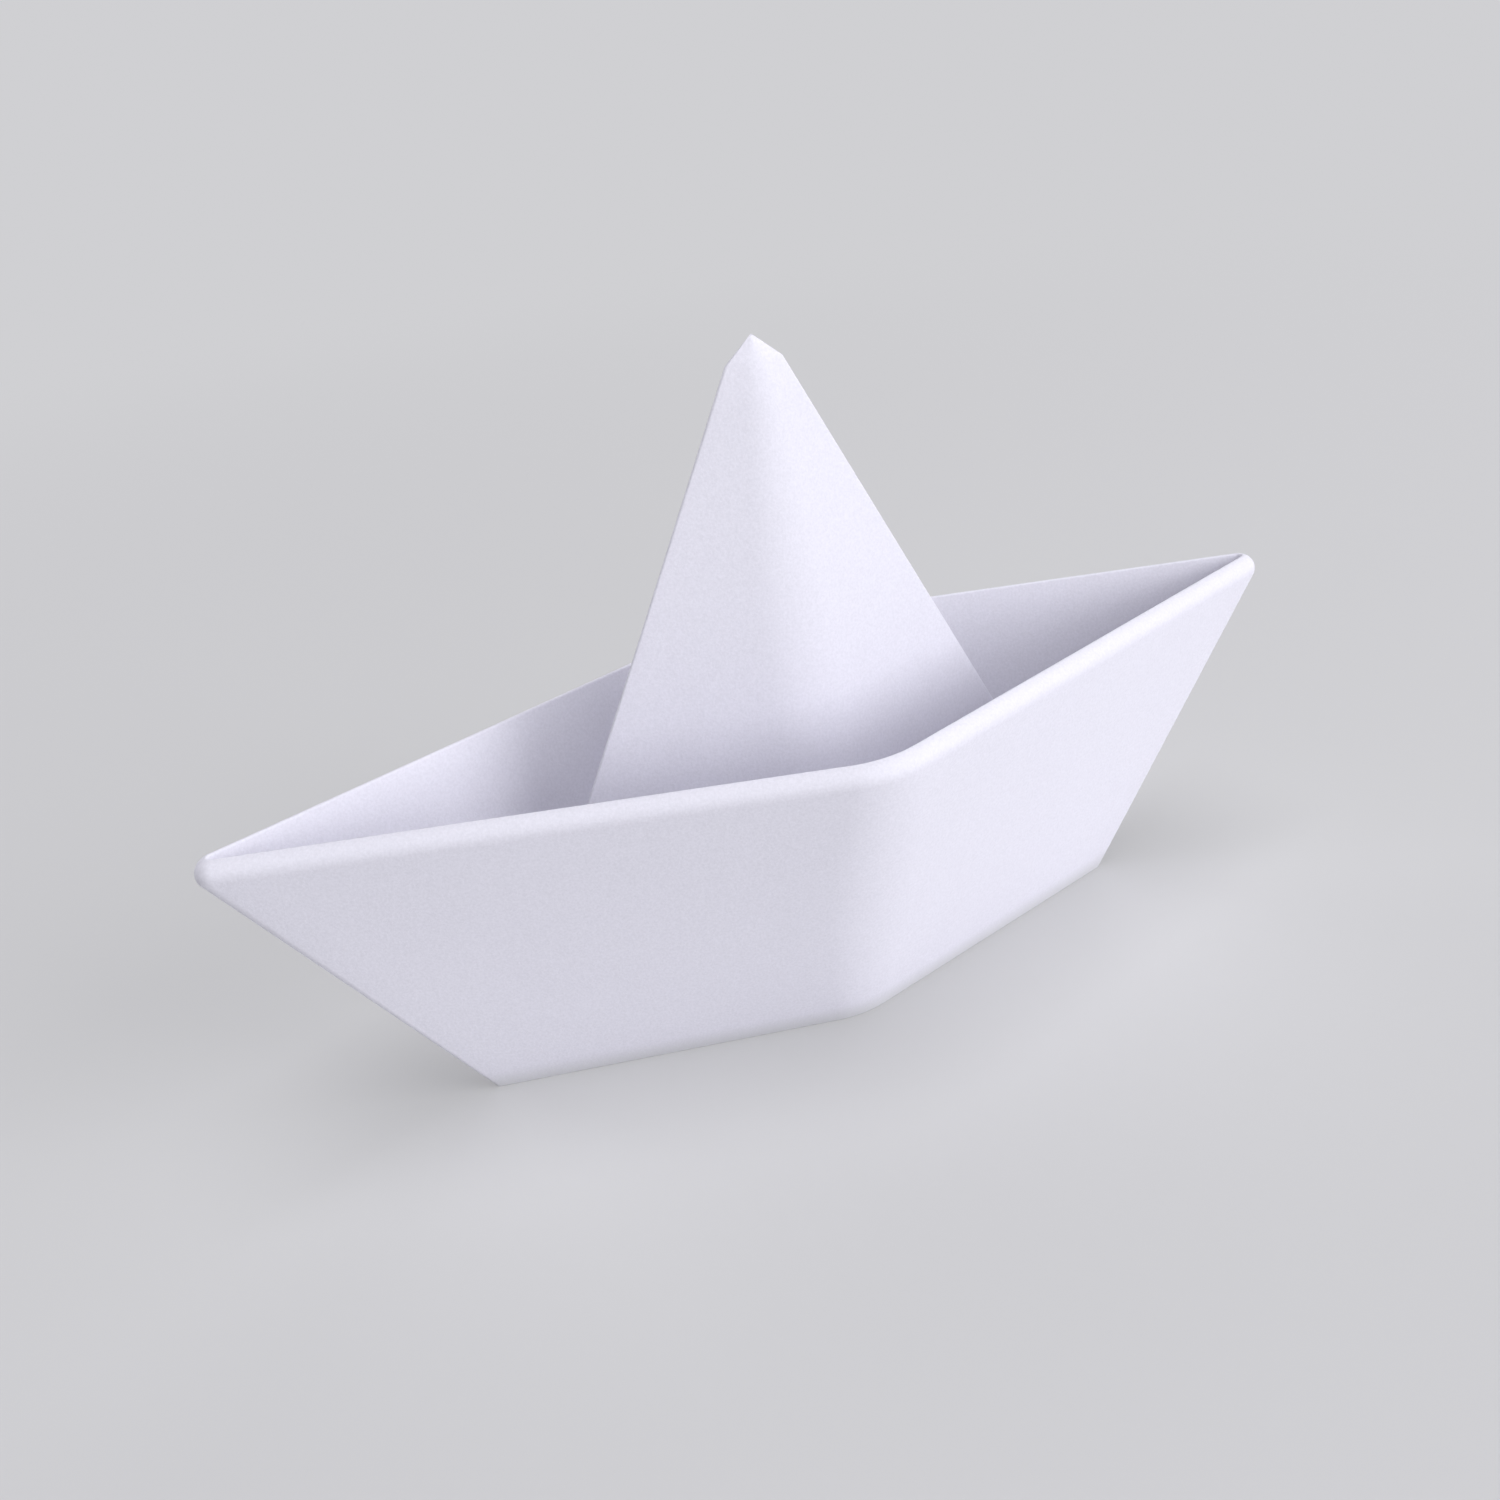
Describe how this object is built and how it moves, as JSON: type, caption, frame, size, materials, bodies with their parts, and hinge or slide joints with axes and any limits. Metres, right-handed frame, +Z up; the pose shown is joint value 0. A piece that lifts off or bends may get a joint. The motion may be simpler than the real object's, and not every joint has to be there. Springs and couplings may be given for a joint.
{
  "type": "origami sailboat",
  "caption": "Folded paper sailboat: a diamond hull with a softly rolled rim and a tall hollow pointed sail, folded from a single sheet.",
  "frame": {"origin": "middle of the boat's foot, on the surface that it stands on", "axes": "+X along the boat from one nose to the other, +Y across it, +Z up"},
  "size_m": [0.202, 0.0718, 0.1189],
  "materials": {
    "paper": "matte lavender-white paper"
  },
  "bodies": {
    "root": {"folded_paper_boat": "paper"}
  },
  "joints": []
}
